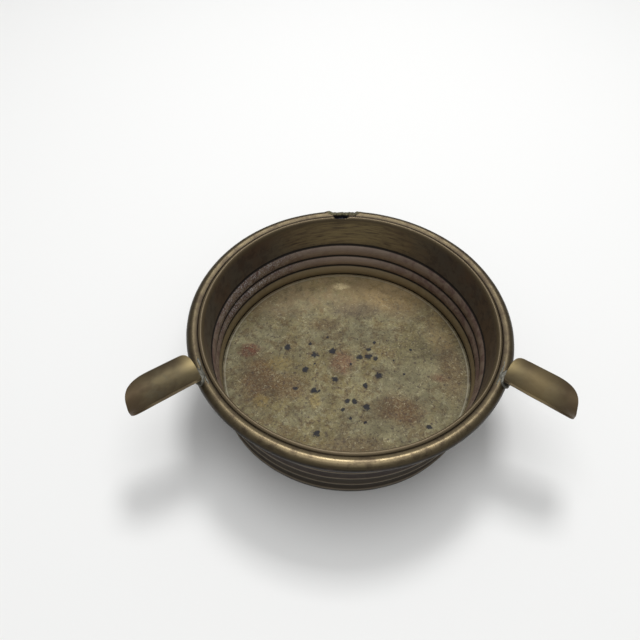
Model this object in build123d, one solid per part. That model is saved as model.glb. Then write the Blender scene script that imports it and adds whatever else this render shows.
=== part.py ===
from build123d import *
import math
import os

# Round sheet-brass dish: a ribbed, slightly tapered side wall, a flat floor set above the
# wall's foot, a rolled bead round the mouth, and two half-round rests soldered on the bead.
# A third rest has broken away at the back, which leaves a notch and a scar of solder.
# Millimetres, +Z up. The origin is on the standing surface, on the dish's axis.
# The rests point towards -X and +X and a little forward, and the scar is at the back, +Y.
# Every pair of numbers is a radius from the dish's axis and a height, unless it says otherwise.

# ---- wall ---------------------------------------------------------------------------------
WALL_SHEET = 1.15
CREASE_HEIGHTS = (26.4, 19.8, 13.9, 7.9, 2.1)    # grooves between the ribs, top to bottom
TOP_CREASE_RADIUS = 56.6       # inside face of the wall at the top crease
FOOT_CREASE_RADIUS = 54.3      # inside face of the wall at the bottom crease
RIB_DEPTH = 1.1                # how far each rib swells inward between its creases
FOOT_INSET = 0.3               # the wall's bottom edge is this far inside its lowest crease

BAND_TOP = (58.0, 37.8)        # the plain band ends and the lip starts to turn outward
LIP_SHOULDER = (58.35, 39.9)
LIP_CROWN = (59.1, 41.0)
LIP_FALL = (59.65, 40.85)
LIP_EDGE = (60.2, 40.4)        # the bottom of the shallow valley between the lip and the bead
LIP_FOOT = (60.2, 37.8)
LIP_BACK = (59.05, 36.6)       # the lip's outer edge ends here, on the back of the sheet

# ---- rolled bead --------------------------------------------------------------------------
RIM_RADIUS = 65.0              # outside of the rolled bead
BEAD_AXIS_HEIGHT = 38.35       # centre of the rolled bead above the standing surface
BEAD_TUBE_RADIUS = 2.6
BEAD_SHEET = 0.8
CURL_END_ANGLE = -135.0        # degrees round the bead's own centre, where its lower edge is
CURL_TOP_ANGLE = 105.0         # the roll ends here and runs on inward as a flange
FLANGE_GAP = 0.05              # the flange stops this far from the lip

# ---- floor and solder rings ---------------------------------------------------------------
FLOOR_THICKNESS = 1.1
FLOOR_CREASE = 3               # the floor sits in the fourth crease from the top
FLOOR_INSET = 0.5              # the floor's edge is this far inside that crease's face
FLOOR_SOLDER_WIDTH = 2.6       # the ring of solder under the floor, measured from the crease
FLOOR_SOLDER_FOOT = 1.4
FLOOR_SOLDER_DEPTH = 1.8
RIM_SOLDER = ((58.2, 35.45), (59.8, 35.45), (61.5, 36.35), (60.6, 38.15), (58.2, 38.15))

# ---- rests --------------------------------------------------------------------------------
REST_BEND_RADIUS = 9.1         # inside radius of the channel at its root
REST_WIDTH_ANGLE = 53.4        # half the angle that the channel is bent through
REST_SHEET = 0.8
REST_LENGTH = 28.4
REST_WIDENING = 1.07           # the channel's section is this much larger at the tip
REST_ROOT_RADIUS = 63.0        # where the channel's inner end sits, on the bead's crown
REST_ROOT_HEIGHT = 41.9
REST_PLACE_ANGLE = 64.6        # round from the front, -Y, to the root of each rest
REST_TURN = 1.4                # each rest points this much further forward than radially
REST_DROOP = 11.5              # each rest slopes down by this much towards its tip
REST_TILT = 7.8                # front edge raised by this much about the rest's own axis
TIP_SET_BACK = 12.7            # the side edges end this far before the tip of the tongue
TIP_FULLNESS = 2.74            # 2 is a round tip, and a larger number is a squarer one
ROOT_SET_BACK = 5.4            # the same two for the rounded corners at the root
ROOT_FULLNESS = 4.5
ROOT_SKEW = 0.6                # the root's back corner is this much further out than its middle

REST_SOLDER_CENTRE = (1.2, 0, -0.9)              # in the rest's own frame
REST_SOLDER_SIZE = (3.4, 6.6, 2.5)               # half lengths along, across and up
REST_SOLDER_TOP = -0.3                           # behind the root it stays below this height

# ---- scar of the third rest ---------------------------------------------------------------
SCAR_START = 83.6              # degrees round from +X, where the bead is broken and resoldered
SCAR_END = 98.6
NOTCH_INNER = (61.0, 40.3)     # the bead is broken down to the line between these two points
NOTCH_OUTER = (66.0, 37.6)
SCAR_FILL = ((60.3, 38.5), (64.9, 37.9), (64.6, 38.75), (63.2, 39.5), (61.6, 40.25), (60.3, 40.3))
HOLE_START = 88.9              # a hole torn through the lip's outer side and the flange
HOLE_END = 95.5
HOLE_RADII = (59.0, 61.5)
HOLE_FLOOR = 39.2

BEAD_AXIS_RADIUS = RIM_RADIUS - BEAD_TUBE_RADIUS
ABOVE_RIM = LIP_CROWN[1] + 2.0
os.makedirs("parts", exist_ok=True)


def crease_radius(height):
    """Inside radius of the tapered wall at a crease."""
    top, bottom = CREASE_HEIGHTS[0], CREASE_HEIGHTS[-1]
    share = (height - bottom) / (top - bottom)
    return FOOT_CREASE_RADIUS + share * (TOP_CREASE_RADIUS - FOOT_CREASE_RADIUS)


def rib_curves(offset):
    """One arc for each rib, from the top crease to the bottom one, on one face of the sheet."""
    arcs = []
    for high, low in zip(CREASE_HEIGHTS, CREASE_HEIGHTS[1:]):
        start = (crease_radius(high) + offset, high)
        end = (crease_radius(low) + offset, low)
        middle = ((start[0] + end[0]) / 2 - RIB_DEPTH, (high + low) / 2)
        arcs.append(ThreePointArc(start, middle, end))
    return arcs


def revolve_outline(edges, start_angle=0.0, sweep=360.0):
    """Turn a closed outline, drawn as radius and height, about the dish's axis."""
    outline = Plane.XZ * make_face(Wire.combine(edges)[0])
    return Rot(0, 0, start_angle) * revolve(outline, Axis.Z, sweep)


def polygon_ring(points, start_angle=0.0, end_angle=360.0):
    """A ring, or a part of one, whose section is a straight-sided outline."""
    sweep = end_angle - start_angle
    return revolve_outline(Polyline(*points, close=True).edges(), start_angle, sweep)


def torn_hole():
    """What the hole in the scar takes away from the lip, the flange and the solder."""
    inner, outer = HOLE_RADII
    box = [(inner, HOLE_FLOOR), (outer, HOLE_FLOOR), (outer, ABOVE_RIM), (inner, ABOVE_RIM)]
    return polygon_ring(box, HOLE_START, HOLE_END)


def make_wall():
    """The spun side wall: rounded lip, plain band, ribs and foot, all one sheet."""
    inner_ribs = rib_curves(0.0)
    outer_ribs = rib_curves(WALL_SHEET)
    foot_radius = crease_radius(CREASE_HEIGHTS[-1]) - FOOT_INSET
    foot_inner = (foot_radius, 0.0)
    foot_outer = (foot_radius + WALL_SHEET, 0.0)
    edges = [ThreePointArc(LIP_CROWN, LIP_SHOULDER, BAND_TOP)]
    edges += [Line(BAND_TOP, inner_ribs[0] @ 0)] + inner_ribs
    edges += [Line(inner_ribs[-1] @ 1, foot_inner), Line(foot_inner, foot_outer)]
    edges += [Line(foot_outer, outer_ribs[-1] @ 1)] + outer_ribs[::-1]
    edges += [Line(outer_ribs[0] @ 0, LIP_BACK), Line(LIP_BACK, LIP_FOOT)]
    edges += [Line(LIP_FOOT, LIP_EDGE), ThreePointArc(LIP_EDGE, LIP_FALL, LIP_CROWN)]
    return revolve_outline(edges) - torn_hole()


def make_bead():
    """The rolled bead: a hollow curl of thin sheet with a flange that leans on the lip."""
    lower, upper = math.radians(CURL_END_ANGLE), math.radians(CURL_TOP_ANGLE)
    middle = (lower + upper) / 2
    outside, inside = BEAD_TUBE_RADIUS, BEAD_TUBE_RADIUS - BEAD_SHEET

    def on_curl(radius, angle):
        across = BEAD_AXIS_RADIUS + radius * math.cos(angle)
        return (across, BEAD_AXIS_HEIGHT + radius * math.sin(angle))

    flange_top = (LIP_EDGE[0] + FLANGE_GAP, LIP_EDGE[1])
    flange_bottom = (flange_top[0], flange_top[1] - BEAD_SHEET)
    edges = [
        ThreePointArc(on_curl(outside, lower), on_curl(outside, middle), on_curl(outside, upper)),
        Line(on_curl(outside, upper), flange_top),
        Line(flange_top, flange_bottom),
        Line(flange_bottom, on_curl(inside, upper)),
        ThreePointArc(on_curl(inside, upper), on_curl(inside, middle), on_curl(inside, lower)),
        Line(on_curl(inside, lower), on_curl(outside, lower)),
    ]
    above = [(NOTCH_OUTER[0], ABOVE_RIM), (NOTCH_INNER[0], ABOVE_RIM)]
    notch = polygon_ring([NOTCH_INNER, NOTCH_OUTER] + above, SCAR_START, SCAR_END)
    return revolve_outline(edges) - notch - torn_hole()


def make_floor():
    """The flat floor plate, held in a crease of the wall."""
    seat = CREASE_HEIGHTS[FLOOR_CREASE]
    radius = crease_radius(seat) - FLOOR_INSET
    low, high = seat - FLOOR_THICKNESS / 2, seat + FLOOR_THICKNESS / 2
    return polygon_ring([(0.0, low), (radius, low), (radius, high), (0.0, high)])


def make_floor_solder(wall):
    """The ring of solder in the corner under the floor plate."""
    under = CREASE_HEIGHTS[FLOOR_CREASE] - FLOOR_THICKNESS / 2
    edge = crease_radius(CREASE_HEIGHTS[FLOOR_CREASE])
    foot = under - FLOOR_SOLDER_DEPTH
    corner = [
        (edge - FLOOR_SOLDER_WIDTH, under),
        (edge - FLOOR_INSET / 2, under),
        (edge - FLOOR_INSET, foot),
        (edge - FLOOR_SOLDER_FOOT, foot),
    ]
    return polygon_ring(corner) - wall


def largest(shape):
    """The largest solid of a cut shape, without its slivers."""
    return max(shape.solids(), key=lambda piece: piece.volume)


def rest_plane(side):
    """The rest's own frame: X along the channel outward, Z out of its open side."""
    place = math.radians(-90 + side * REST_PLACE_ANGLE)
    heading = place - side * math.radians(REST_TURN)
    droop = math.radians(REST_DROOP)
    root = Vector(
        REST_ROOT_RADIUS * math.cos(place),
        REST_ROOT_RADIUS * math.sin(place),
        REST_ROOT_HEIGHT,
    )
    along = Vector(
        math.cos(heading) * math.cos(droop),
        math.sin(heading) * math.cos(droop),
        -math.sin(droop),
    )
    level = Plane(origin=root, x_dir=along, z_dir=(0, 0, 1))
    upright = along.cross(level.y_dir)
    tilt = side * math.radians(REST_TILT)
    leaned = upright * math.cos(tilt) + level.y_dir * math.sin(tilt)
    return Plane(origin=root, x_dir=along, z_dir=leaned)


def channel_section(inside, outside, half_angle, size):
    """The bent strip seen end on: across and up, with its inner face's lowest point at zero."""
    def on_bend(radius, angle):
        across = size * radius * math.sin(angle)
        return (across, size * (REST_BEND_RADIUS - radius * math.cos(angle)))

    edges = [
        ThreePointArc(on_bend(inside, -half_angle), on_bend(inside, 0), on_bend(inside, half_angle)),
        Line(on_bend(inside, half_angle), on_bend(outside, half_angle)),
        ThreePointArc(on_bend(outside, half_angle), on_bend(outside, 0), on_bend(outside, -half_angle)),
        Line(on_bend(outside, -half_angle), on_bend(inside, -half_angle)),
    ]
    return Plane.YZ * make_face(Wire.combine(edges)[0])


def channel(inside, outside, half_angle):
    """A straight channel that widens evenly, from just behind the rest's root to its tip."""
    growth = (REST_WIDENING - 1) / REST_LENGTH
    start, end = -2 * ROOT_SKEW, REST_LENGTH
    root = channel_section(inside, outside, half_angle, 1 + growth * start)
    tip = channel_section(inside, outside, half_angle, 1 + growth * end)
    return loft([Pos(start, 0, 0) * root, Pos(end, 0, 0) * tip], ruled=True)


def set_back(share, depth, fullness):
    """How far a rounded end lies behind its middle, at a share of the half width."""
    return depth * (1 - max(0.0, 1 - abs(share) ** fullness) ** (1 / fullness))


def tongue_outline(side, half_angle, clearance=3.0, steps=12):
    """The strip's outline from above: a rounded tip, and rounded corners at the root."""
    widest = REST_WIDENING * (REST_BEND_RADIUS + REST_SHEET)
    tip, root = [], []
    for step in range(-steps, steps + 1):
        share = math.sin(math.pi / 2 * step / steps)
        across = widest * math.sin(share * half_angle)
        root_end = set_back(share, ROOT_SET_BACK, ROOT_FULLNESS) + side * ROOT_SKEW * share
        tip_end = REST_LENGTH - set_back(share, TIP_SET_BACK, TIP_FULLNESS)
        tip.append((tip_end, across))
        root.append((root_end, across))
    corners = []
    for end in (0, -1):
        outward = clearance if end else -clearance
        root_corner = (root[end][0], root[end][1] + outward)
        tip_corner = (tip[end][0], root_corner[1])
        corners.append(Polyline(root[end], root_corner, tip_corner, tip[end]))
    edges = [Spline(*tip), Spline(*root)] + corners[0].edges() + corners[1].edges()
    return make_face(Wire.combine(edges)[0])


def make_rest(side):
    """One half-round rest, cut from a round-ended strip; side is -1 for left, +1 for right."""
    half_angle = math.radians(REST_WIDTH_ANGLE)
    strip = channel(REST_BEND_RADIUS, REST_BEND_RADIUS + REST_SHEET, half_angle)
    tall = 3 * REST_BEND_RADIUS
    cutter = Pos(0, 0, -tall / 2) * extrude(tongue_outline(side, half_angle), tall)
    return rest_plane(side).location * (strip & cutter)


def make_rest_solder(side, bead, wall):
    """The solder under and round the root of one rest, where it sits on the bead."""
    lump = Pos(*REST_SOLDER_CENTRE) * scale(Sphere(1.0), by=REST_SOLDER_SIZE)
    size = 4 * max(REST_SOLDER_SIZE)
    trough = channel(0.01, REST_BEND_RADIUS + REST_SHEET, math.radians(89))
    behind_root = Pos(-size / 2, 0, REST_SOLDER_TOP + size / 2) * Box(size, size, size)
    lump = lump - trough - behind_root
    curl = Pos(0, 0, BEAD_AXIS_HEIGHT) * Torus(BEAD_AXIS_RADIUS, BEAD_TUBE_RADIUS - BEAD_SHEET / 8)
    return largest(rest_plane(side).location * lump - bead - wall - curl)


def make_scar(wall, bead):
    """The solder left at the back, run into the broken bead."""
    return largest(polygon_ring(SCAR_FILL, SCAR_START, SCAR_END) - torn_hole() - wall - bead)


ribbed_wall = make_wall()
rim_bead = make_bead()
pieces = {
    "ribbed_wall": ribbed_wall,
    "rim_bead": rim_bead,
    "floor_disc": make_floor(),
    "floor_solder": make_floor_solder(ribbed_wall),
    "bead_solder": largest(polygon_ring(RIM_SOLDER) - ribbed_wall - rim_bead),
    "rear_solder_scar": make_scar(ribbed_wall, rim_bead),
}
for side, name in ((-1, "left"), (1, "right")):
    pieces[f"{name}_rest"] = make_rest(side)
    pieces[f"{name}_rest_solder"] = make_rest_solder(side, rim_bead, ribbed_wall)

for name, piece in pieces.items():
    export_step(piece, f"parts/{name}.step")
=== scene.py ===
import math

import bpy
import numpy as np
from mathutils import Matrix, Vector, noise


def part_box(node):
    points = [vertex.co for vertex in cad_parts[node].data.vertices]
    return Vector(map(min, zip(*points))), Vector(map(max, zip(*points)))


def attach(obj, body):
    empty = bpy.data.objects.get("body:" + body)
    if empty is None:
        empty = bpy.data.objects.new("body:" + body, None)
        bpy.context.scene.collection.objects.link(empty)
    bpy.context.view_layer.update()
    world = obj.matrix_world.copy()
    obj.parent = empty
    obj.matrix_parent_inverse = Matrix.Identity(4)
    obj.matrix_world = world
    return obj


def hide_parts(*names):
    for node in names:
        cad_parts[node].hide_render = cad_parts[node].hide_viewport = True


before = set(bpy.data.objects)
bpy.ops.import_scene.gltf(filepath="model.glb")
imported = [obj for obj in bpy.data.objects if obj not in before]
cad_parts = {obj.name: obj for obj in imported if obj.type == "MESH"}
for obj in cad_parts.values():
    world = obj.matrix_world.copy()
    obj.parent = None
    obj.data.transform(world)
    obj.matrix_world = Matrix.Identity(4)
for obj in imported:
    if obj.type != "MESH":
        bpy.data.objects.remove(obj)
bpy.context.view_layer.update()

# The dish is worked out in millimetres and written to the meshes in metres.
MM = 0.001

# ---- sizes taken from the frame --------------------------------------------------------------
RIM_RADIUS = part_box("rim_bead")[1].x / MM
BEAD_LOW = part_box("rim_bead")[0].z / MM
BEAD_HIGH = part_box("rim_bead")[1].z / MM
LIP_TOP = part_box("ribbed_wall")[1].z / MM
FLOOR_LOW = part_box("floor_disc")[0].z / MM
FLOOR_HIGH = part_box("floor_disc")[1].z / MM
FLOOR_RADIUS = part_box("floor_disc")[1].x / MM

BEAD_TUBE = (BEAD_HIGH - BEAD_LOW) / 2
BEAD_HEIGHT = (BEAD_HIGH + BEAD_LOW) / 2
BEAD_RADIUS = RIM_RADIUS - BEAD_TUBE

# ---- sizes repeated from the part ------------------------------------------------------------
WALL_SHEET = 1.15
BEAD_SHEET = 0.8
LIP_FACE = 60.2                # outer face of the lip, where the bead's flange meets it
VALLEY = 40.4                  # height of the shallow valley between the lip and the bead
# Radius and height of each crease in the wall, from the top one down.
CREASES = ((56.6, 26.4), (55.98, 19.8), (55.42, 13.9), (54.85, 7.9), (54.3, 2.1))
RIB_DEPTH = 1.1
MOUTH_RADIUS = 58.2
FOOT_RADIUS = 54.0
REST_HALF_ANGLE = math.radians(53.4)
REST_BEND = 9.1
REST_SHEET = 0.8
REST_LENGTH = 28.4
REST_WIDENING = 0.07           # the section grows by this share from root to tip
REST_ROOT_RADIUS = 63.0        # of the channel's lowest line at its root
REST_ROOT_HEIGHT = 41.9
REST_PLACE = math.radians(64.6)
REST_TURN = math.radians(1.4)
REST_DROOP = math.radians(11.5)
REST_TILT = math.radians(7.8)
TIP_SET_BACK = 12.7
TIP_FULLNESS = 2.74
ROOT_SET_BACK = 5.4
ROOT_FULLNESS = 4.5
ROOT_SKEW = 0.6
SCAR_START = 83.6              # the broken stretch of the bead, in degrees round from +X
SCAR_END = 98.6
HOLE_CENTRE = 92.2             # the torn hole, in the same degrees
HOLE_HALF = 3.3

# ---- sizes that only the looks have ----------------------------------------------------------
SHRINK = 0.11                  # keeps the uneven rings inside the part's own box
SPINNING_WAVE = 0.10           # how far the wall swells and dips
BEAD_WAVE = 0.06
FLOOR_WAVE = 0.12
FLOOR_SINK = 0.10              # the plate's middle lies this far below its edge
PIT_DEPTH = 0.10
HOLE_DEPTH = 1.8
HOLE_FADE = (0.046, 0.058)     # the shadow in the hole ends between these angles, in radians
LUMP_CENTRE = (1.0, 0.0, -1.9)     # solder under a rest's root, in the rest's own frame
LUMP_SIZES = (2.6, 5.4, 1.5)       # half lengths along, across and up
RUN_HALF = 6.2                     # degrees from the middle of a solder run to its end


# ---- shapes ----------------------------------------------------------------------------------
def wobble(seed, *waves):
    """A smooth curve of the angle round the dish, in radians, from a few (count, size) waves."""
    def curve(angle):
        total = 0.0
        for count, size in waves:
            total = total + size * np.sin(count * angle + seed * 1.7 * count + seed)
        return total
    return curve


rim_breath = wobble(1.0, (2, 0.05), (3, 0.04), (5, 0.02))
rim_wave = wobble(2.3, (2, 0.08), (3, 0.06), (7, 0.03))
groove_wander = wobble(4.1, (1, 0.16), (3, 0.10), (6, 0.06), (11, 0.03))


def step_up(value, start, end):
    """0 below start, 1 above end, and a smooth rise between them."""
    share = np.clip((value - start) / (end - start), 0.0, 1.0)
    return share * share * (3.0 - 2.0 * share)


def bump(value, centre, half_width):
    """A smooth hump of height 1 at the centre."""
    share = np.clip(1.0 - np.abs(value - centre) / half_width, 0.0, 1.0)
    return share * share * (3.0 - 2.0 * share)


def grain(points, size, seed, depth):
    """Soft repeatable noise from -1 to 1 at each point; size is the width of its lumps in mm."""
    shift = Vector((seed * 11.3, seed * 7.1, seed * 3.7))
    flat = points.reshape(-1, 3) / size
    values = [noise.fractal(Vector(p) + shift, 1.0, 2.0, depth) for p in flat]
    return np.array(values).reshape(points.shape[:-1])


def soften(outline, step, softness):
    """Resamples a closed outline evenly and rounds its corners by averaging along it."""
    outline = np.array(outline, float)
    ring = np.vstack([outline, outline[:1]])
    lengths = np.hypot(*np.diff(ring, axis=0).T)
    place = np.concatenate([[0.0], np.cumsum(lengths)])
    count = max(8, int(round(place[-1] / step)))
    even = np.linspace(0, place[-1], count, endpoint=False)
    samples = np.column_stack([np.interp(even, place, ring[:, k]) for k in range(2)])
    reach = max(1, int(round(3 * softness / step)))
    offsets = np.arange(-reach, reach + 1)
    weights = np.exp(-0.5 * (offsets * step / softness) ** 2)
    weights /= weights.sum()
    total = np.zeros_like(samples)
    for offset, weight in zip(offsets, weights):
        total += weight * np.roll(samples, -offset, axis=0)
    return total


def rib_points(offset):
    """The ribbed stretch of one face of the wall, from the top crease down, as radius and height."""
    points = []
    count = 24
    for (top_r, top_z), (low_r, low_z) in zip(CREASES, CREASES[1:]):
        for k in range(count):
            share = k / count
            sag = RIB_DEPTH * 4 * share * (1 - share)
            radius = top_r + (low_r - top_r) * share - sag + offset
            points.append((radius, top_z + (low_z - top_z) * share))
    points.append((CREASES[-1][0] + offset, CREASES[-1][1]))
    return points


def make_mesh(name, points, faces, sharp_angle=55.0):
    """A mesh object from points in mm and faces, smooth except across sharp corners."""
    mesh = bpy.data.meshes.new(name)
    mesh.from_pydata((np.asarray(points) * MM).tolist(), [], faces)
    mesh.validate()
    mesh.shade_smooth()
    mesh.set_sharp_from_angle(angle=math.radians(sharp_angle))
    piece = bpy.data.objects.new(name, mesh)
    bpy.context.scene.collection.objects.link(piece)
    return piece


def even_angles(step):
    """Angles right round the dish, in radians, from an even step in degrees."""
    return np.radians(np.arange(0.0, 360.0, step))


def finer_angles(coarse, fine, start, end):
    """The same, with finer steps from start to end."""
    before = np.arange(0.0, start, coarse)
    within = np.arange(start, end, fine)
    after = np.arange(end, 360.0, coarse)
    return np.radians(np.concatenate([before, within, after]))


def lathe(name, outline, angles, shape, closed=True):
    """Turns an outline of radius and height about Z. shape(angle, radius, height) bends it."""
    outline = np.asarray(outline, float)
    angle, radius = np.meshgrid(angles, outline[:, 0], indexing="ij")
    height = np.broadcast_to(outline[:, 1], radius.shape)
    radius, height = shape(angle, radius, height)
    points = np.stack([radius * np.cos(angle), radius * np.sin(angle), height], -1)
    rounds, count = radius.shape
    faces = []
    for i in range(rounds):
        here, after = i * count, ((i + 1) % rounds) * count
        for j in range(count if closed else count - 1):
            k = (j + 1) % count
            faces.append((here + j, here + k, after + k, after + j))
    points = points.reshape(-1, 3)
    if not closed:
        first, last = len(points), len(points) + 1
        ends = np.array([[0.0, 0.0, height[:, 0].mean()], [0.0, 0.0, height[:, -1].mean()]])
        points = np.vstack([points, ends])
        for i in range(rounds):
            here, after = i * count, ((i + 1) % rounds) * count
            faces.append((first, here, after))
            faces.append((last, after + count - 1, here + count - 1))
    return make_mesh(name, points, faces)


def settle(angle, radius, height):
    """The slight out-of-round and wave that every ring of the dish shares."""
    lift = np.clip(height / LIP_TOP, 0.0, 1.0)
    radius = radius + lift * (rim_breath(angle) - SHRINK)
    height = height + lift * lift * rim_wave(angle)
    return radius, height


ROUND_ANGLES = finer_angles(1.0, 0.25, 80.0, 102.0)


def wall_outline():
    """The wall seen end on: ribs inside and out, the foot, and the lip that turns outward."""
    inner = rib_points(0.0)
    outer = rib_points(WALL_SHEET)
    foot = [(FOOT_RADIUS, 0.0), (FOOT_RADIUS + WALL_SHEET, 0.0)]
    lip = [
        (MOUTH_RADIUS - 0.2, LIP_TOP - 3.2),
        (MOUTH_RADIUS - 0.1, LIP_TOP - 2.2),
        (MOUTH_RADIUS + 0.15, LIP_TOP - 1.15),
        (MOUTH_RADIUS + 0.45, LIP_TOP - 0.4),
        (MOUTH_RADIUS + 0.9, LIP_TOP),
        (MOUTH_RADIUS + 1.45, LIP_TOP - 0.1),
        (LIP_FACE - 0.02, VALLEY + 0.05),
        (LIP_FACE - 0.02, LIP_TOP - 3.2),
        (MOUTH_RADIUS + 0.85, LIP_TOP - 4.4),
    ]
    return soften(inner + foot + outer[::-1] + lip[::-1], 0.25, 0.16)


def torn_open(turn):
    """1 along the hole torn between the lip and the bead, and 0 past its ragged ends."""
    away = np.abs(turn - HOLE_CENTRE) + 0.25 * np.sin(3.1 * turn)
    return 1 - step_up(away, 0.65 * HOLE_HALF, HOLE_HALF)


def shape_wall(angle, radius, height):
    """Spinning marks, a wandering lip, and the gouge in the lip where the third rest was."""
    radius, height = settle(angle, radius, height)
    at_lip = step_up(height, LIP_TOP - 4.0, LIP_TOP - 0.5)
    outer_side = step_up(radius, MOUTH_RADIUS + 0.2, LIP_FACE - 0.2)
    radius = radius + at_lip * 0.35 * groove_wander(angle) * outer_side
    points = np.stack([radius * np.cos(angle), radius * np.sin(angle), height], -1)
    radius = radius + SPINNING_WAVE * grain(points, 14.0, 1.0, 2)
    turn = np.degrees(angle)
    gouge = torn_open(turn) * step_up(radius, MOUTH_RADIUS + 0.3, MOUTH_RADIUS + 0.9)
    height = height - (HOLE_DEPTH - 0.1) * gouge * step_up(height, LIP_TOP - 3.0, LIP_TOP - 0.5)
    return radius, np.maximum(height, 0.0)


def curl_point(reach, turn):
    """A point of the curl, at a distance and an angle from the bead's own centre."""
    return (BEAD_RADIUS + reach * math.cos(turn), BEAD_HEIGHT + reach * math.sin(turn))


def bead_outline():
    """The curl of sheet seen end on, with the flange at its top that leans on the lip."""
    turns = np.linspace(math.radians(-135), math.radians(105), 50)
    outside, inside = BEAD_TUBE, BEAD_TUBE - BEAD_SHEET
    points = [curl_point(outside, turn) for turn in turns]
    points += [(LIP_FACE + 0.05, VALLEY), (LIP_FACE + 0.05, VALLEY - BEAD_SHEET)]
    points += [curl_point(inside, turn) for turn in turns[::-1]]
    return soften(points, 0.2, 0.12)


def worn_bead(angle, radius, height):
    """The bead with its wandering groove, and with its top broken down along the scar."""
    turn = np.degrees(angle)
    inward = (RIM_RADIUS - radius) / (2 * BEAD_TUBE)
    radius = radius + 0.30 * groove_wander(angle) * inward * inward
    ragged = 0.12 * np.sin(turn * 1.9) + 0.08 * np.sin(turn * 4.3 + 1.0) + 0.03 * np.sin(turn * 11.0)
    cut = step_up(turn, SCAR_START + 0.6, SCAR_START + 2.8)
    cut = cut * (1 - step_up(turn, SCAR_END - 3.4, SCAR_END - 1.2))
    slope = 0.42 * np.clip(radius - LIP_FACE - 1.3, 0.0, 4.0)
    cap = BEAD_HEIGHT + BEAD_TUBE - cut * (0.50 + slope + ragged)
    height = np.minimum(height, cap)
    torn = 0.25 * bump(turn, SCAR_START + 0.4, 1.2) + bump(turn, SCAR_END - 1.0, 1.5)
    top = step_up(height, BEAD_HEIGHT + 0.6, BEAD_HEIGHT + BEAD_TUBE)
    top = top * step_up(radius, LIP_FACE + 1.8, LIP_FACE + 3.3)
    height = height + 0.55 * torn * top
    gouge = torn_open(turn) * (1 - step_up(radius, LIP_FACE + 0.8, LIP_FACE + 1.7))
    height = height - (HOLE_DEPTH + 0.1) * gouge * step_up(height, BEAD_HEIGHT - 0.5, BEAD_HEIGHT + 1.2)
    radius, height = settle(angle, radius, height)
    points = np.stack([radius * np.cos(angle), radius * np.sin(angle), height], -1)
    radius = np.minimum(radius + BEAD_WAVE * grain(points, 9.0, 3.0, 2), RIM_RADIUS)
    return radius, height


def floor_outline():
    """The plate seen end on, from the middle of its top, round its edge, to the middle below."""
    flat_end = FLOOR_RADIUS - 1.2
    top = [(radius, FLOOR_HIGH - 0.1) for radius in np.linspace(1.0, flat_end, 84)]
    edge = [
        (FLOOR_RADIUS - 0.8, FLOOR_HIGH - 0.02),
        (FLOOR_RADIUS - 0.35, FLOOR_HIGH + 0.02),
        (FLOOR_RADIUS - 0.05, FLOOR_HIGH - 0.2),
        (FLOOR_RADIUS - 0.02, FLOOR_LOW + 0.25),
        (FLOOR_RADIUS - 0.35, FLOOR_LOW),
    ]
    bottom = [(radius, FLOOR_LOW) for radius in np.linspace(flat_end, 1.0, 40)]
    return top + edge + bottom


# Corrosion pits in the floor: across and back from the dish's axis, and radius.
PITS = (
    (-26, 9, 2.0), (-14, 5, 2.2), (-16, 11, 1.2), (-6, 7, 2.2), (-18, -3, 1.9),
    (-14, 0, 0.8), (-22, -13, 1.4), (-14, -14, 2.0), (-12, -14, 0.9), (-5, -8, 1.7),
    (6, 4, 1.8), (10, 4, 2.2), (10, 8, 1.4), (13, 3, 1.6), (14, -6, 2.2),
    (8, -11, 1.8), (0, -19, 1.6), (3, -19, 1.5), (-2, -23, 1.1), (8, -22, 2.2),
    (1, -27, 1.0), (7, -29, 1.0), (-13, -34, 2.0), (-8, 15, 0.8), (13, 12, 0.9),
    (29, 8, 0.8), (21, 2, 0.7), (2, 0, 0.7), (33, -31, 1.6), (25, -5, 0.7),
)


def shape_floor(angle, radius, height):
    """The plate is not quite flat, and each pit is a shallow hollow."""
    points = np.stack([radius * np.cos(angle), radius * np.sin(angle), height * 0], -1)
    inside = 1 - step_up(radius, FLOOR_RADIUS - 6, FLOOR_RADIUS - 1.5)
    height = height + inside * (FLOOR_WAVE * grain(points, 30.0, 5.0, 2) - FLOOR_SINK)
    top = step_up(height, FLOOR_HIGH - 0.6, FLOOR_HIGH - 0.4)
    for across, back, size in PITS:
        distance = np.hypot(points[..., 0] - across, points[..., 1] - back)
        height = height - PIT_DEPTH * top * (1 - step_up(distance, 0.4 * size, 1.2 * size))
    return radius, height


def ring_of_solder(name, outline, seed, lumps):
    """A soldered seam: a ring whose surface swells and thins round the dish."""
    middle = np.mean(outline, axis=0)

    def shape(angle, radius, height):
        points = np.stack([radius * np.cos(angle), radius * np.sin(angle), height], -1)
        swell = 1.0 + lumps * grain(points, 3.5, seed, 3)
        radius = middle[0] + (radius - middle[0]) * swell
        height = middle[1] + (height - middle[1]) * swell
        return settle(angle, radius, height)

    return lathe(name, soften(outline, 0.25, 0.15), even_angles(1.5), shape)


def rest_matrix(side):
    """Places a rest: X out along its channel, Z out of its open side."""
    place = -math.pi / 2 + side * REST_PLACE
    heading = place - side * REST_TURN
    along = Vector((math.cos(heading), math.sin(heading), -math.tan(REST_DROOP))).normalized()
    level = Vector((0, 0, 1)).cross(along).normalized()
    upright = along.cross(level)
    up = upright * math.cos(REST_TILT) + level * side * math.sin(REST_TILT)
    across = up.cross(along)
    reach = REST_ROOT_RADIUS
    root = Vector((reach * math.cos(place), reach * math.sin(place), REST_ROOT_HEIGHT))
    turned = Matrix((along, across, up)).transposed().to_4x4()
    return Matrix.Translation(root * MM) @ turned


def set_back(share, depth, fullness):
    """How far a rounded end lies behind its middle, at a share of the half width."""
    return depth * (1 - max(0.0, 1 - abs(share) ** fullness) ** (1 / fullness))


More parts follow.
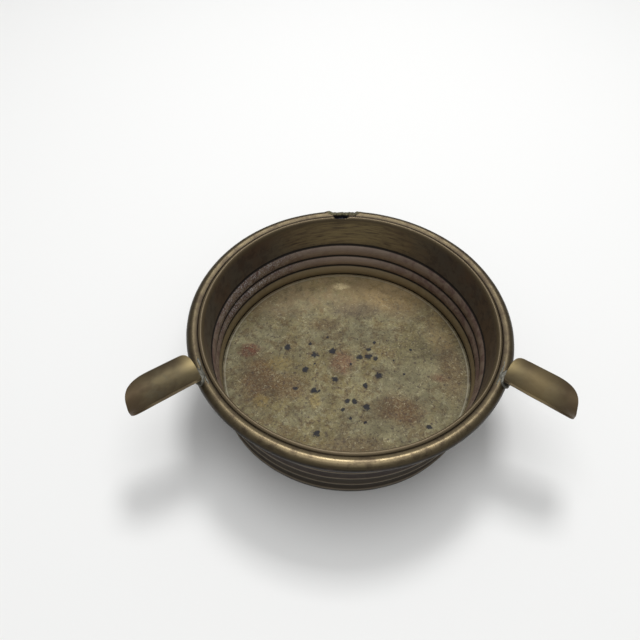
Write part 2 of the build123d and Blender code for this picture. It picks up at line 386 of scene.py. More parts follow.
def rest_surface(side, share_along, share_across, lift):
    """A point of the bent strip: lift is 0 on its inner face and the sheet's thickness below it."""
    turn = share_across * REST_HALF_ANGLE
    tip = REST_LENGTH - set_back(share_across, TIP_SET_BACK, TIP_FULLNESS)
    root = set_back(share_across, ROOT_SET_BACK, ROOT_FULLNESS) + side * ROOT_SKEW * share_across
    along = root + (tip - root) * share_along
    ripple = 0.10 * noise.noise(Vector((along * 0.12, share_across * 1.4, 3.0 + side)))
    reach = REST_BEND + lift + ripple
    size = 1 + REST_WIDENING * along / REST_LENGTH
    return (along, size * reach * math.sin(turn), size * (REST_BEND - reach * math.cos(turn)))


def make_rest(side, name):
    """One rest: a closed strip with a round tip, bent into a channel."""
    rows, columns = 44, 36
    points, faces = [], []
    for lift in (0.0, REST_SHEET):
        for i in range(rows + 1):
            for j in range(columns + 1):
                across = math.sin(math.pi / 2 * (2 * j / columns - 1))
                points.append(rest_surface(side, i / rows, across, lift))
    layer = (rows + 1) * (columns + 1)

    def at(i, j, under):
        return under * layer + i * (columns + 1) + j

    for i in range(rows):
        for j in range(columns):
            faces.append((at(i, j, 0), at(i + 1, j, 0), at(i + 1, j + 1, 0), at(i, j + 1, 0)))
            faces.append((at(i, j, 1), at(i, j + 1, 1), at(i + 1, j + 1, 1), at(i + 1, j, 1)))
    border = [(i, 0) for i in range(rows)] + [(rows, j) for j in range(columns)]
    border += [(i, columns) for i in range(rows, 0, -1)] + [(0, j) for j in range(columns, 0, -1)]
    for here, after in zip(border, border[1:] + border[:1]):
        faces.append((at(*here, 0), at(*here, 1), at(*after, 1), at(*after, 0)))
    piece = make_mesh(name, points, faces, 40.0)
    piece.data.transform(rest_matrix(side))
    bevel = piece.modifiers.new("worn_edges", "BEVEL")
    bevel.width = 0.22 * MM
    bevel.segments = 3
    bevel.limit_method = "ANGLE"
    bevel.angle_limit = math.radians(50)
    return piece


def solder_lump(name, centre, sizes, matrix, seed):
    """A lump of solder: an ellipsoid drawn as rings of points, pushed about by noise."""
    rings, spokes = 22, 40
    lump_size, roughness = 2.2, 0.22
    middle = Vector(centre)
    points, faces = [], []
    for i in range(1, rings):
        tall = math.pi * i / rings
        for j in range(spokes):
            turn = 2 * math.pi * j / spokes
            level = math.sin(tall)
            unit = Vector((level * math.cos(turn), level * math.sin(turn), math.cos(tall)))
            place = Vector([unit[k] * sizes[k] for k in range(3)])
            rise = noise.fractal(place / lump_size + Vector((seed, 0, 0)), 1.0, 2.0, 3)
            points.append(place * (1 + roughness * rise) + middle)
    for i in range(rings - 2):
        here, after = i * spokes, (i + 1) * spokes
        for j in range(spokes):
            k = (j + 1) % spokes
            faces.append((here + j, after + j, after + k, here + k))
    top, bottom = len(points), len(points) + 1
    points.append(middle + Vector((0, 0, sizes[2])))
    points.append(middle - Vector((0, 0, sizes[2])))
    last = (rings - 2) * spokes
    for j in range(spokes):
        k = (j + 1) % spokes
        faces.append((top, j, k))
        faces.append((bottom, last + k, last + j))
    piece = make_mesh(name, np.array([tuple(p) for p in points]), faces, 80.0)
    piece.data.transform(matrix)
    return piece


def solder_run(name, start, end, seed):
    """A thin run of solder in the groove inside the bead, between two angles in degrees."""
    radius, height, width = LIP_FACE + 1.3, BEAD_HIGH - 0.30, 0.50
    steps, spokes = 70, 18
    points, faces = [], []
    for i in range(steps + 1):
        share = i / steps
        turn = math.radians(start + (end - start) * share)
        thickness = width * math.sqrt(max(0.02, 1 - (2 * share - 1) ** 6))
        wander = 0.25 * noise.noise(Vector((turn * 25, seed, 0)))
        for j in range(spokes):
            spoke = 2 * math.pi * j / spokes
            lump = 1 + 0.35 * noise.fractal(Vector((turn * 40, j * 0.35, seed)), 1.0, 2.0, 3)
            reach = radius + thickness * lump * math.cos(spoke) + wander
            up = 0.6 * thickness * lump * math.sin(spoke)
            points.append((reach * math.cos(turn), reach * math.sin(turn), height + up))
    for i in range(steps):
        here, after = i * spokes, (i + 1) * spokes
        for j in range(spokes):
            k = (j + 1) % spokes
            faces.append((here + j, after + j, after + k, here + k))
    faces.append(tuple(range(spokes - 1, -1, -1)))
    faces.append(tuple(steps * spokes + j for j in range(spokes)))
    return make_mesh(name, points, faces, 80.0)


def scar_heap(turn, around, points):
    """How high the smeared solder stands: two heaps, rough all over, thin at its edges."""
    start, end = SCAR_START + 0.6, SCAR_END - 0.6
    heap = 0.10 + 0.28 * bump(turn, SCAR_START + 3.2, 3.2) + 0.16 * bump(turn, SCAR_END - 1.6, 2.0)
    heap = heap + 0.14 * grain(points, 1.6, 8.0, 3)
    edge = np.minimum(step_up(around, 0.24, 0.7), 1 - step_up(around, 1.5, 1.88))
    edge = edge * step_up(turn, start, start + 1.2) * (1 - step_up(turn, end - 1.2, end))
    return np.maximum(heap, 0.02) * edge - 0.03 * (1 - edge)


def scar_patch(name):
    """Solder smeared over the broken top of the bead, thick at the ends, thin in the middle."""
    turns = np.radians(np.linspace(SCAR_START + 0.6, SCAR_END - 0.6, 120))
    sweep = np.radians(np.linspace(14, 108, 36))
    angle, around = np.meshgrid(turns, sweep, indexing="ij")
    skins = []
    for reach in (BEAD_TUBE, BEAD_TUBE - 0.5):
        radius = BEAD_RADIUS + reach * np.cos(around) - 0.05
        radius, height = worn_bead(angle, radius, BEAD_HEIGHT + reach * np.sin(around))
        points = np.stack([radius * np.cos(angle), radius * np.sin(angle), height], -1)
        on_top = reach == BEAD_TUBE
        if on_top:
            points[..., 2] += scar_heap(np.degrees(angle), around, points)
        skins.append(points.reshape(-1, 3))
    rows, columns = angle.shape
    layer = rows * columns
    faces = []
    for i in range(rows - 1):
        for j in range(columns - 1):
            here, after = i * columns + j, (i + 1) * columns + j
            faces.append((here, after, after + 1, here + 1))
            faces.append((layer + here, layer + here + 1, layer + after + 1, layer + after))
    border = [i * columns for i in range(rows - 1)]
    border += [(rows - 1) * columns + j for j in range(columns - 1)]
    border += [i * columns + columns - 1 for i in range(rows - 1, 0, -1)]
    border += list(range(columns - 1, 0, -1))
    for here, after in zip(border, border[1:] + border[:1]):
        faces.append((after, here, layer + here, layer + after))
    return make_mesh(name, np.vstack(skins), faces, 70.0)


# ---- material building blocks ----------------------------------------------------------------
class Look:
    """A material's node tree, with short calls for the nodes that the finishes share."""

    def __init__(self, name):
        self.material = bpy.data.materials.new(name)
        self.material.use_nodes = True
        self.tree = self.material.node_tree
        self.tree.nodes.clear()
        self.shader = self.tree.nodes.new("ShaderNodeBsdfPrincipled")
        output = self.tree.nodes.new("ShaderNodeOutputMaterial")
        self.tree.links.new(self.shader.outputs[0], output.inputs["Surface"])
        source = self.tree.nodes.new("ShaderNodeTexCoord")
        self.place = self.vector("SCALE", source.outputs["Object"], scale=1 / MM)
        flat = self.vector("MULTIPLY", self.place, (1, 1, 0))
        self.radius = self.vector("LENGTH", flat, output=1)
        radial = self.vector("NORMALIZE", flat)
        self.forward = self.vector("DOT_PRODUCT", source.outputs["Normal"], (0, -1, 0), output=1)
        self.outward = self.vector("DOT_PRODUCT", source.outputs["Normal"], radial, output=1)
        split = self.tree.nodes.new("ShaderNodeSeparateXYZ")
        self.tree.links.new(self.place, split.inputs[0])
        self.x, self.y, self.height = split.outputs
        self.turn = self.math("ARCTAN2", self.y, self.x)

    def feed(self, socket, value):
        """Links a socket to another node, or sets it to a plain value."""
        if isinstance(value, bpy.types.NodeSocket):
            self.tree.links.new(value, socket)
        elif hasattr(socket.default_value, "__len__") and not hasattr(value, "__len__"):
            socket.default_value = [value] * len(socket.default_value)
        elif hasattr(value, "__len__") and len(value) == 3 and len(socket.default_value) == 4:
            socket.default_value = (*value, 1.0)
        else:
            socket.default_value = value

    def math(self, kind, first, second=0.0, third=0.0, clamp=False):
        node = self.tree.nodes.new("ShaderNodeMath")
        node.operation, node.use_clamp = kind, clamp
        for socket, value in zip(node.inputs, (first, second, third)):
            self.feed(socket, value)
        return node.outputs[0]

    def vector(self, kind, first, second=None, scale=None, output=0):
        node = self.tree.nodes.new("ShaderNodeVectorMath")
        node.operation = kind
        self.feed(node.inputs[0], first)
        if second is not None:
            self.feed(node.inputs[1], second)
        if scale is not None:
            self.feed(node.inputs["Scale"], scale)
        return node.outputs[output]

    def noise(self, size, detail=4.0, rough=0.55, distortion=0.0, place=None, seed=0.0):
        """Cloudy noise with lumps of the given size in mm, from 0 to 1."""
        node = self.tree.nodes.new("ShaderNodeTexNoise")
        if place is None:
            place = self.place
        moved = self.vector("ADD", place, (seed, seed * 0.7, seed * 0.3))
        self.feed(node.inputs["Vector"], moved)
        node.inputs["Scale"].default_value = 1.0 / size
        node.inputs["Detail"].default_value = detail
        node.inputs["Roughness"].default_value = rough
        node.inputs["Distortion"].default_value = distortion
        return node.outputs[0]

    def range(self, value, low, high, to_low=0.0, to_high=1.0):
        """A smooth change from to_low, where the value is low, to to_high, where it is high."""
        node = self.tree.nodes.new("ShaderNodeMapRange")
        node.interpolation_type = "SMOOTHSTEP"
        for name, amount in (
            ("Value", value),
            ("From Min", low),
            ("From Max", high),
            ("To Min", to_low),
            ("To Max", to_high),
        ):
            self.feed(node.inputs[name], amount)
        return node.outputs[0]

    def mix(self, share, first, second):
        """The first colour where share is 0 and the second where it is 1.

        The Mix node's colours are its sockets 6 and 7, and the result is its output 2.
        """
        node = self.tree.nodes.new("ShaderNodeMix")
        node.data_type = "RGBA"
        self.feed(node.inputs[0], share)
        self.feed(node.inputs[6], first)
        self.feed(node.inputs[7], second)
        return node.outputs[2]

    def coat(self, colour, share, strength, paint):
        """Lays paint over a colour where share says, and never thicker than strength."""
        return self.mix(self.math("MULTIPLY", share, strength), colour, paint)

    def band(self, value, centre, half_width):
        """1 at the centre and 0 beyond the half width, on either side."""
        away = self.math("ABSOLUTE", self.math("SUBTRACT", value, centre))
        return self.range(away, 0.0, half_width, 1.0, 0.0)

    def product(self, *values):
        """All the values multiplied together."""
        result = values[0]
        for value in values[1:]:
            result = self.math("MULTIPLY", result, value)
        return result

    def largest(self, *values):
        """The largest of the values at each point."""
        result = values[0]
        for value in values[1:]:
            result = self.math("MAXIMUM", result, value)
        return result

    def finish(self, colour, rough, metal, height, strength, distance, shine):
        """Wires the material up; height is the bump, raised by distance in metres."""
        bump_node = self.tree.nodes.new("ShaderNodeBump")
        bump_node.inputs["Strength"].default_value = strength
        bump_node.inputs["Distance"].default_value = distance
        self.feed(bump_node.inputs["Height"], height)
        self.feed(self.shader.inputs["Base Color"], colour)
        self.feed(self.shader.inputs["Roughness"], rough)
        self.feed(self.shader.inputs["Metallic"], metal)
        self.shader.inputs["Specular IOR Level"].default_value = shine
        self.feed(self.shader.inputs["Normal"], bump_node.outputs[0])
        return self.material


def scratches(look, seed, length, width, turn):
    """Fine straight scratches: noise stretched along one direction."""
    rotate = look.tree.nodes.new("ShaderNodeMapping")
    look.feed(rotate.inputs["Vector"], look.place)
    rotate.inputs["Rotation"].default_value = (0, 0, turn)
    stretched = look.vector("MULTIPLY", rotate.outputs[0], (1 / length, 1 / width, 1 / width))
    field = look.noise(1.0, 2.0, 0.5, place=stretched, seed=seed)
    return look.range(field, 0.66, 0.74)


def hole_shadow(look, clear, deep):
    """1 in the torn hole, and 0 elsewhere; it fades in from the clear radius to the deep one."""
    turned = look.math("ABSOLUTE", look.math("SUBTRACT", look.turn, math.radians(HOLE_CENTRE)))
    along = look.range(turned, HOLE_FADE[0], HOLE_FADE[1], 1.0, 0.0)
    return look.product(along, look.range(look.radius, clear, deep))


# ---- floor finish ----------------------------------------------------------------------------
OLIVE = (0.158, 0.128, 0.052)
GREY_GREEN = (0.182, 0.165, 0.090)
DULL_OLIVE = (0.100, 0.084, 0.036)
TAN = (0.240, 0.165, 0.070)
BROWN = (0.090, 0.050, 0.020)
RUST = (0.110, 0.034, 0.018)
CLOUD = (0.062, 0.044, 0.032)
YELLOW = (0.290, 0.205, 0.055)
PALE = (0.260, 0.240, 0.150)
# Painted highlight: the bright spot near the back of the floor.
PAINTED_FLOOR_HIGHLIGHT = (0.62, 0.52, 0.30)
FLECK = (0.040, 0.026, 0.022)
SPARK = (0.44, 0.40, 0.25)
GRIT = (0.25, 0.210, 0.110)
SCRATCH = (0.30, 0.26, 0.15)
SHADE = (0.030, 0.022, 0.012)
# Painted light on the back of the floor.
BACK_PAINTED_LIGHT = (0.40, 0.30, 0.165)
PIT = (0.022, 0.024, 0.032)
# Painted shade round the floor's edge, by the wall.
EDGE_SHADE = (0.045, 0.034, 0.025)
EDGE_LINE = (0.45, 0.42, 0.33)

# Stains on the floor, and one painted highlight: across, back, half width, half depth, colour, strength.
STAINS_AND_HIGHLIGHT = (
    (24, 42, 24, 15, TAN, 0.90),
    (6, 31, 15, 6, CLOUD, 0.78),
    (-31, 36, 20, 14, CLOUD, 0.48),
    (-22, 34, 5, 5, GREY_GREEN, 0.96),
    (24, 27, 12, 5, GREY_GREEN, 0.84),
    (30, 7, 14, 12, DULL_OLIVE, 0.90),
    (-43, 7, 6, 5, RUST, 1.0),
    (-38, -8, 11, 17, BROWN, 1.0),
    (-27, -12, 13, 9, BROWN, 0.84),
    (-2, 1, 7, 9, RUST, 0.72),
    (40, -7, 6, 3, RUST, 0.96),
    (21, -24, 14, 11, BROWN, 1.0),
    (46, -2, 8, 20, BROWN, 0.72),
    (26, 30, 10, 7, BROWN, 0.54),
    (-10, 22, 10, 5, BROWN, 0.60),
    (2, -40, 16, 6, BROWN, 0.66),
    (29, -6, 17, 14, GREY_GREEN, 0.54),
    (-29, 0, 8, 5, YELLOW, 0.42),
    (14, -31, 11, 5, GREY_GREEN, 0.78),
    # A painted highlight near the back edge, not a stain.
    (-1, 46, 6, 2.5, PAINTED_FLOOR_HIGHLIGHT, 1.0),
    (-14, -19, 3, 5, YELLOW, 0.54),
    (-36, -19, 4, 4, YELLOW, 0.48),
    (44, 20, 9, 18, TAN, 0.54),
)


def stains_and_highlight(look, colour, blotch):
    """The stains and the painted highlight, each an ellipse whose edge the blotches make ragged."""
    for across, back, wide, deep, spot_colour, strength in STAINS_AND_HIGHLIGHT:
        moved = look.vector("SUBTRACT", look.place, (across, back, 0))
        shrunk = look.vector("MULTIPLY", moved, (1 / wide, 1 / deep, 0))
        away = look.vector("LENGTH", shrunk, output=1)
        ragged = look.math("MULTIPLY_ADD", blotch, 1.6, away)
        colour = look.mix(look.range(ragged, 1.18, 1.80, strength, 0.0), colour, spot_colour)
    return colour


def pit_spots(look):
    """1 inside the corrosion pits and 0 outside, with ragged edges."""
    flat = look.vector("MULTIPLY", look.place, (1, 1, 0))
    edge = look.noise(1.3, 3.0, 0.6, seed=41.0)
    spots = []
    for across, back, size in PITS:
        away = look.vector("DISTANCE", flat, (across, back, 0), output=1)
        ragged = look.math("MULTIPLY_ADD", edge, 1.8 * size, away)
        spots.append(look.range(ragged, 1.38 * size, 1.80 * size, 1.0, 0.0))
    return look.largest(*spots)


def floor_finish():
    """Olive grey plate with stains, freckles, sparks, scratches and dark pits, with painted light towards
    the back, a painted highlight near the back and painted shade by the edge.
    """
    look = Look("floor_brass")
    broad = look.noise(22.0, 4.0, 0.6, 0.4, seed=3.0)
    blotch = look.noise(5.0, 5.0, 0.65, 0.5, seed=9.0)
    speck = look.noise(1.5, 4.0, 0.80, seed=17.0)
    grit = look.noise(0.7, 2.0, 0.6, seed=23.0)
    pale = look.noise(2.6, 5.0, 0.75, 0.3, seed=31.0)
    freckle = look.noise(1.8, 4.0, 0.7, seed=37.0)
    cloudy = look.noise(12.0, 4.0, 0.6, 0.8, seed=47.0)
    spark = look.noise(1.3, 4.0, 0.75, seed=57.0)
    colour = look.mix(look.range(broad, 0.38, 0.62), OLIVE, GREY_GREEN)
    colour = look.coat(colour, look.range(blotch, 0.47, 0.60), 0.60, BROWN)
    colour = look.coat(colour, look.range(pale, 0.53, 0.62), 0.60, PALE)
    colour = stains_and_highlight(look, colour, blotch)
    colour = look.coat(colour, look.range(speck, 0.50, 0.60), 0.60, CLOUD)
    colour = look.coat(colour, look.range(freckle, 0.58, 0.63), 0.75, FLECK)
    colour = look.coat(colour, look.range(spark, 0.59, 0.64), 0.50, SPARK)
    colour = look.mix(look.range(grit, 0.40, 0.72, 0.0, 0.40), colour, GRIT)
    marks = look.largest(
        scratches(look, 2.0, 16.0, 0.30, 0.5),
        scratches(look, 5.0, 12.0, 0.28, -0.8),
        scratches(look, 8.0, 20.0, 0.32, 1.9),
    )
    colour = look.coat(colour, marks, 0.45, SCRATCH)
    colour = look.coat(colour, look.range(cloudy, 0.35, 0.65), 0.40, SHADE)
    # Painted light: the floor is lightened towards the back wall.
    painted_light_behind = look.product(look.range(look.y, 22.0, 46.0), look.range(blotch, 0.25, 0.6))
    colour = look.coat(colour, painted_light_behind, 0.45, BACK_PAINTED_LIGHT)
    pits = pit_spots(look)
    colour = look.coat(colour, pits, 0.90, PIT)
    # Painted shade: the floor darkens near its edge.
    near_edge = look.range(look.radius, FLOOR_RADIUS - 3.0, FLOOR_RADIUS - 0.6)
    colour = look.coat(colour, near_edge, 0.40, EDGE_SHADE)
    bright_edge = look.band(look.radius, FLOOR_RADIUS - 1.35, 0.45)
    colour = look.coat(colour, bright_edge, 0.30, EDGE_LINE)
    rough = look.math("MULTIPLY_ADD", blotch, 0.25, 0.45)
    rough = look.math("MULTIPLY_ADD", pits, 0.20, rough, clamp=True)
    height = look.math("MULTIPLY_ADD", pits, -1.2, speck)
    height = look.math("MULTIPLY_ADD", marks, -0.4, height)
    return look.finish(colour, rough, 0.30, height, 0.40, 0.00012, 0.25)


# ---- wall finish -----------------------------------------------------------------------------
BAND_GREY = (0.110, 0.092, 0.074)
BAND_BROWN = (0.120, 0.080, 0.056)
# Painted light on the band at the back.
BAND_BACK_PAINTED_LIGHT = (0.230, 0.185, 0.120)
BAND_STAIN = (0.055, 0.040, 0.034)
# Worn streaks, which also add painted light at the back.
BAND_WEAR_AND_LIGHT = (0.42, 0.335, 0.180)
RIB_TAN = (0.270, 0.205, 0.160)
RIB_BROWN = (0.175, 0.115, 0.098)
# Painted light on the ribs at the back.
RIB_BACK_PAINTED_LIGHT = (0.400, 0.320, 0.260)
RIB_LOWEST = (0.270, 0.215, 0.105)
# Painted highlight on the outer ridges.
RIDGE_HIGHLIGHT = (0.260, 0.215, 0.150)
DUST = (0.66, 0.64, 0.63)
# Painted shade in the creases inside the wall.
CREASE_SHADE = (0.008, 0.006, 0.005)
LIP_BRASS = (0.125, 0.095, 0.055)
HOLE_DARK = (0.016, 0.018, 0.026)
# Painted shade on the outer wall below the lip, and a painted shadow under the rim.
OUTSIDE_SHADE = (0.030, 0.024, 0.021)
SHADOW_UNDER_RIM = (0.007, 0.006, 0.006)


def inner_wall_colour(look, blotch):
    """The plain band above and the ribs below, both with painted light at the back, where the band also
    has worn streaks.
    """
    broad = look.noise(18.0, 4.0, 0.6, seed=5.0)
    around = look.vector("MULTIPLY", look.place, (0.12, 0.12, 1.3))
    brushed = look.noise(1.0, 3.0, 0.6, place=around, seed=62.0)
    # Painted light: the band and ribs are lightened at the back.
    painted_light_behind = look.band(look.turn, math.radians(88), math.radians(48))
    band = look.mix(look.range(broad, 0.38, 0.62), BAND_GREY, BAND_BROWN)
    band = look.coat(band, painted_light_behind, 0.6, BAND_BACK_PAINTED_LIGHT)
    band = look.coat(band, look.range(blotch, 0.46, 0.64), 0.50, BAND_STAIN)
    # Worn streaks, only at the back, where they also add painted light.
    wear_and_light = look.product(painted_light_behind, look.range(brushed, 0.28, 0.62), look.range(look.height, 24.0, 30.0))
    band = look.coat(band, wear_and_light, 0.85, BAND_WEAR_AND_LIGHT)
    ribs = look.mix(look.range(blotch, 0.40, 0.62), RIB_TAN, RIB_BROWN)
    ribs = look.coat(ribs, painted_light_behind, 0.7, RIB_BACK_PAINTED_LIGHT)
    top_crease = CREASES[0][1]
    colour = look.mix(look.range(look.height, top_crease - 0.6, top_crease), ribs, band)
    return look.coat(colour, look.range(look.height, 13.2, 14.4, 1.0, 0.0), 0.7, RIB_LOWEST)


def dust_on_ribs(look, inside):
    """1 on the specks of pale dust that lie on the upper ribs, on one side."""
    specks = look.range(look.noise(0.8, 4.0, 0.8, seed=52.0), 0.53, 0.58)
    return look.product(
        look.band(look.turn, math.radians(145), math.radians(42)),
        look.range(look.height, 13.5, 15.0),
        look.range(look.height, 26.8, 25.6),
        inside,
        specks,
    )


def wall_finish():
    """Dark patina, dusty inside, with painted shade in the creases inside, painted highlights on the
    ridges outside, and painted shade on the outside below the lip.
    """
    look = Look("wall_brass")
    blotch = look.noise(4.0, 5.0, 0.65, 0.5, seed=12.0)
    speck = look.noise(1.0, 4.0, 0.7, seed=22.0)
    inside = look.range(look.outward, -0.15, 0.15, 1.0, 0.0)
    colour = inner_wall_colour(look, blotch)
    colour = look.coat(colour, dust_on_ribs(look, inside), 0.95, DUST)
    crease = look.largest(*[look.band(look.height, level, 1.0) for _, level in CREASES])
    # Painted highlight along the ridges on the outside.
    ridge_highlight = look.product(crease, look.math("SUBTRACT", 1.0, inside))
    # Painted shade in the creases on the inside; it also makes them rougher and less metallic.
    crease_shade = look.product(look.range(crease, 0.10, 0.70), inside)
    colour = look.coat(colour, crease_shade, 0.96, CREASE_SHADE)
    lip = look.range(look.height, LIP_TOP - 3.2, LIP_TOP - 0.6)
    colour = look.mix(look.product(lip, look.range(blotch, -0.1, 0.5)), colour, LIP_BRASS)
    hole = hole_shadow(look, MOUTH_RADIUS + 0.4, MOUTH_RADIUS + 0.8)
    colour = look.coat(colour, hole, 0.92, HOLE_DARK)
    # Painted shade on the outside below the lip, darkest as a painted shadow under the rim.
    below_lip = look.range(look.height, LIP_TOP - 3.4, LIP_TOP - 4.0)
    outside = look.product(look.range(look.outward, -0.05, 0.25), below_lip)
    colour = look.coat(colour, outside, 0.90, OUTSIDE_SHADE)
    colour = look.mix(look.range(ridge_highlight, 0.35, 1.0, 0.0, 0.75), colour, RIDGE_HIGHLIGHT)
    shadow_under_rim = look.product(look.range(look.height, 20.0, 27.0, 0.0, 0.985), outside)
    colour = look.mix(shadow_under_rim, colour, SHADOW_UNDER_RIM)
    rough = look.math("MULTIPLY_ADD", blotch, 0.24, 0.30)
    rough = look.math("MAXIMUM", rough, look.math("MULTIPLY", crease_shade, 0.75))
    metal = look.math("MULTIPLY_ADD", crease_shade, -0.45, 0.45)
    return look.finish(colour, rough, metal, speck, 0.3, 0.00010, 0.25)


# ---- bead, rest and solder finishes ----------------------------------------------------------
BEAD_SIDE = (0.084, 0.066, 0.038)
# Painted highlight on the bead's crown at the front.
BEAD_FRONT_HIGHLIGHT = (0.175, 0.137, 0.078)
# Painted shade on the lower part of the bead.
BEAD_LOWER_SHADE = (0.012, 0.009, 0.005)
BEAD_PATCH = (0.050, 0.035, 0.024)
BEAD_FLECK = (0.035, 0.024, 0.018)
# Painted shade in the valley between the lip and the bead.
VALLEY_SHADE = (0.018, 0.012, 0.008)
REST_OLIVE = (0.150, 0.120, 0.066)
REST_BROWN = (0.095, 0.072, 0.042)
REST_CLOUD = (0.120, 0.105, 0.068)
# Painted highlight at the roots of the rests.
REST_ROOT_HIGHLIGHT = (0.42, 0.33, 0.16)
REST_WARM = (0.270, 0.205, 0.100)
# Painted shade on the rests' faces turned to the front.
REST_FRONT_SHADE = (0.070, 0.050, 0.030)
REST_TIP = (0.095, 0.062, 0.034)
SOLDER_LIGHT = (0.16, 0.155, 0.13)
SOLDER_DARK = (0.07, 0.065, 0.05)
# Painted shade: the solder seam under the bead is coloured near black.
SHADED_SOLDER_LIGHT = (0.020, 0.018, 0.016)
SHADED_SOLDER_DARK = (0.010, 0.009, 0.008)
SCAR_LIGHT = (0.150, 0.135, 0.070)
SCAR_DARK = (0.055, 0.046, 0.026)


def bead_finish():
    """Olive brown, with a painted highlight on the crown at the front, and painted shade below and in the
    valley.
    """
    look = Look("bead_brass")
    blotch = look.noise(5.0, 5.0, 0.65, 0.5, seed=14.0)
    speck = look.noise(0.9, 4.0, 0.7, seed=24.0)
    fine = look.noise(1.4, 4.0, 0.7, 0.3, seed=34.0)
    # Painted highlight: the front of the bead is lighter and smoother.
    painted_highlight = look.band(look.turn, math.radians(-90), math.radians(75))
    # Painted shade below the crown of the bead.
    crown = look.range(look.height, BEAD_HEIGHT + 0.6, BEAD_HEIGHT + 2.4)
    colour = look.mix(crown, BEAD_LOWER_SHADE, look.mix(painted_highlight, BEAD_SIDE, BEAD_FRONT_HIGHLIGHT))
    colour = look.coat(colour, look.range(blotch, 0.46, 0.64), 0.60, BEAD_PATCH)
    colour = look.coat(colour, look.range(fine, 0.55, 0.70), 0.45, BEAD_FLECK)
    # Painted shade in the valley between the lip and the bead.
    valley = look.band(look.radius, LIP_FACE + 0.15, 0.8)
    colour = look.coat(colour, valley, 0.85, VALLEY_SHADE)
    colour = look.coat(colour, hole_shadow(look, LIP_FACE + 1.5, LIP_FACE + 1.1), 0.92, HOLE_DARK)
    rough = look.math("MULTIPLY_ADD", blotch, 0.24, 0.30)
    rough = look.math("MULTIPLY_ADD", painted_highlight, -0.08, rough)
    return look.finish(colour, rough, 0.80, speck, 0.25, 0.00008, 0.3)


def rest_finish():
    """Smooth brown patina, with a painted highlight at the roots, darker at the tips, and painted shade
    on the faces turned to the front.
    """
    look = Look("rest_brass")
    broad = look.noise(11.0, 3.0, 0.55, 0.3, seed=6.0)
    blotch = look.noise(3.5, 4.0, 0.6, 0.5, seed=16.0)
    speck = look.noise(0.8, 4.0, 0.7, seed=26.0)
    colour = look.mix(look.range(broad, 0.38, 0.62), REST_OLIVE, REST_BROWN)
    colour = look.coat(colour, look.range(blotch, 0.5, 0.7), 0.5, REST_CLOUD)
    # Painted highlight near the root of each rest.
    painted_highlight = look.product(look.range(look.radius, 63.2, 71.0, 1.0, 0.0), look.range(look.y, -30.0, -22.0))
    colour = look.coat(colour, painted_highlight, 0.9, REST_ROOT_HIGHLIGHT)
    middle = look.product(look.band(look.radius, 75.0, 11.0), look.range(look.x, -1.0, 1.0))
    colour = look.coat(colour, middle, 0.6, REST_WARM)
    # Painted shade on faces that turn to the front.
    colour = look.mix(look.range(look.forward, 0.30, 0.70, 0.0, 0.45), colour, REST_FRONT_SHADE)
    colour = look.coat(colour, look.range(look.radius, 78.0, 91.0), 0.7, REST_TIP)
    rough = look.math("MULTIPLY_ADD", blotch, 0.20, 0.30)
    return look.finish(colour, rough, 0.70, speck, 0.2, 0.00006, 0.3)


def solder_finish(name, light, dark):
    """Lumpy soft solder in two mottled colours."""
    look = Look(name)
    blotch = look.noise(1.6, 4.0, 0.6, 0.4, seed=7.0)
    speck = look.noise(0.4, 4.0, 0.7, seed=27.0)
    colour = look.mix(look.range(blotch, 0.4, 0.62), light, dark)
    rough = look.math("MULTIPLY_ADD", blotch, 0.3, 0.40)
    return look.finish(colour, rough, 0.5, speck, 0.5, 0.00012, 0.3)


# ---- assembly --------------------------------------------------------------------------------
def install(piece, material, slot_name, *nodes):
    """Gives a piece its material in a new slot, and puts it in place of the part's own nodes; slot_name
    is not used.
    """
    piece.data.materials.append(material)
    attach(piece, "root")
    if nodes:
        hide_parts(*nodes)


wall = lathe("wall_sheet", wall_outline(), ROUND_ANGLES, shape_wall)
install(wall, wall_finish(), "wall_brass", "ribbed_wall")

bead = lathe("rolled_bead", bead_outline(), ROUND_ANGLES, worn_bead)
install(bead, bead_finish(), "bead_brass", "rim_bead")

plate = lathe("floor_plate", floor_outline(), even_angles(1.0), shape_floor, closed=False)
install(plate, floor_finish(), "floor_brass", "floor_disc")

solder_grey = solder_finish("solder", SOLDER_LIGHT, SOLDER_DARK)
seam_outline = [
    (FLOOR_RADIUS - 2.2, FLOOR_LOW + 0.05),
    (FLOOR_RADIUS - 0.1, FLOOR_LOW + 0.05),
    (FLOOR_RADIUS - 0.5, FLOOR_LOW - 1.6),
    (FLOOR_RADIUS - 1.0, FLOOR_LOW - 1.5),
]
floor_seam = ring_of_solder("floor_seam", seam_outline, 2.0, 0.18)
install(floor_seam, solder_grey, "solder", "floor_solder")
rim_outline = [
    (MOUTH_RADIUS + 0.6, BEAD_HEIGHT - 2.9),
    (MOUTH_RADIUS + 1.5, BEAD_HEIGHT - 2.8),
    (BEAD_RADIUS - 1.2, BEAD_HEIGHT - 2.1),
    (BEAD_RADIUS - 2.0, BEAD_HEIGHT - 0.5),
    (MOUTH_RADIUS + 0.9, BEAD_HEIGHT - 0.5),
]
rim_seam = ring_of_solder("rim_seam", rim_outline, 5.0, 0.12)
# The seam under the bead gets solder darkened as painted shade.
shaded_solder = solder_finish("shaded_solder", SHADED_SOLDER_LIGHT, SHADED_SOLDER_DARK)
install(rim_seam, shaded_solder, "solder", "bead_solder")

rest_material = rest_finish()
for side, name in ((-1, "left"), (1, "right")):
    rest = make_rest(side, f"{name}_channel")
    install(rest, rest_material, "rest_brass", f"{name}_rest")
    lump = solder_lump(f"{name}_solder_lump", LUMP_CENTRE, LUMP_SIZES, rest_matrix(side), 3.0 + side)
    install(lump, solder_grey, "solder", f"{name}_rest_solder")
    middle = -90 + side * math.degrees(REST_PLACE)
    run = solder_run(f"{name}_solder_run", middle - RUN_HALF, middle + RUN_HALF, 2.0 + side)
    install(run, solder_grey, "solder")

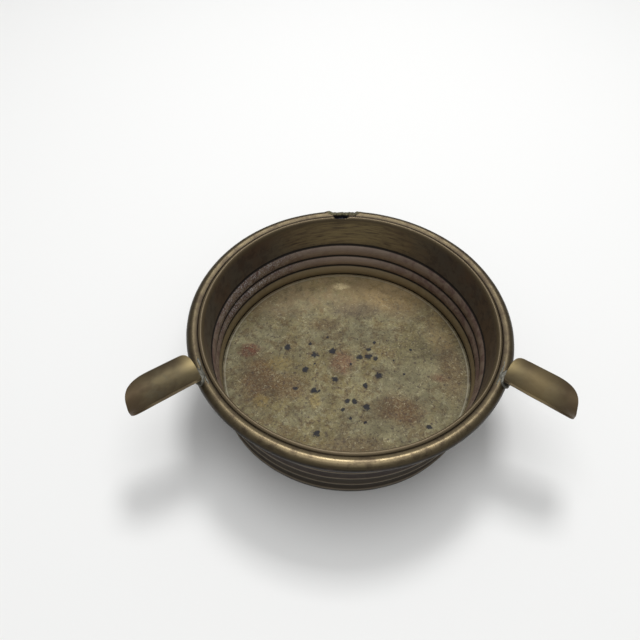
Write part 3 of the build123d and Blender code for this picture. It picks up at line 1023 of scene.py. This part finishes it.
scar = scar_patch("scar_smear")
scar_material = solder_finish("scar_solder", SCAR_LIGHT, SCAR_DARK)
install(scar, scar_material, "scar_solder", "rear_solder_scar")


# ---- stage, light and camera -----------------------------------------------------------------
# Each lamp's name, place, size and power, in metres and watts.
LAMPS = (
    ("key", (0.07, 0.48, 0.90), (0.28, 0.24), 4.6),
    ("panel", (0.0, -0.02, 1.10), (0.90, 0.90), 6.0),
    ("fill", (0.0, -0.75, 0.85), (0.60, 0.60), 0.8),
)
AIM = (0, 0, 0.03)             # the lamps point at the middle of the dish
SKY_COLOUR = (0.98, 0.99, 1.0, 1)
SKY_STRENGTH = 0.27
GROUND_COLOUR = (0.86, 0.86, 0.85, 1)
GROUND_DROP = 0.0002           # the ground lies this far below the dish, so they don't touch
CAMERA_PLACE = (-0.0144, -0.1541, 0.2285)
CAMERA_HEADING = math.radians(-0.91)
CAMERA_PITCH = math.radians(50.91)
CAMERA_ROLL = math.radians(1.22)
CAMERA_LENS = 34.34            # millimetres, on a sensor 36 mm wide


def make_ground():
    """A wide pale floor just below the dish."""
    reach = 3.0
    corners = [(-reach, -reach, 0), (reach, -reach, 0), (reach, reach, 0), (-reach, reach, 0)]
    mesh = bpy.data.meshes.new("ground")
    mesh.from_pydata(corners, [], [(0, 1, 2, 3)])
    ground = bpy.data.objects.new("ground", mesh)
    ground.location.z = -GROUND_DROP
    bpy.context.scene.collection.objects.link(ground)
    material = bpy.data.materials.new("pale_ground")
    material.use_nodes = True
    shader = material.node_tree.nodes["Principled BSDF"]
    shader.inputs["Base Color"].default_value = GROUND_COLOUR
    shader.inputs["Roughness"].default_value = 0.9
    mesh.materials.append(material)


def soft_light(name, place, size, power):
    """A rectangular lamp that points at the dish."""
    data = bpy.data.lights.new(name, "AREA")
    data.shape = "RECTANGLE"
    data.size, data.size_y = size
    data.energy = power
    light = bpy.data.objects.new(name, data)
    light.location = place
    aim = Vector(AIM) - Vector(place)
    light.rotation_euler = aim.to_track_quat("-Z", "Y").to_euler()
    bpy.context.scene.collection.objects.link(light)


def make_world():
    """Even pale light from all round."""
    world = bpy.data.worlds.new("studio")
    world.use_nodes = True
    background = world.node_tree.nodes["Background"]
    background.inputs["Color"].default_value = SKY_COLOUR
    background.inputs["Strength"].default_value = SKY_STRENGTH
    bpy.context.scene.world = world


def make_camera():
    """Looks down at the dish from the front, slightly to the left."""
    data = bpy.data.cameras.new("camera")
    data.sensor_width = 36.0
    data.lens = CAMERA_LENS
    data.clip_start = 0.01
    camera = bpy.data.objects.new("camera", data)
    camera.location = CAMERA_PLACE
    turned = Matrix.Rotation(CAMERA_HEADING, 4, "Z")
    turned = turned @ Matrix.Rotation(math.pi / 2 - CAMERA_PITCH, 4, "X")
    turned = turned @ Matrix.Rotation(CAMERA_ROLL, 4, "Z")
    camera.rotation_euler = turned.to_euler()
    bpy.context.scene.collection.objects.link(camera)
    bpy.context.scene.camera = camera


make_ground()
for lamp in LAMPS:
    soft_light(*lamp)
make_world()
bpy.context.scene.view_settings.view_transform = "Standard"
make_camera()
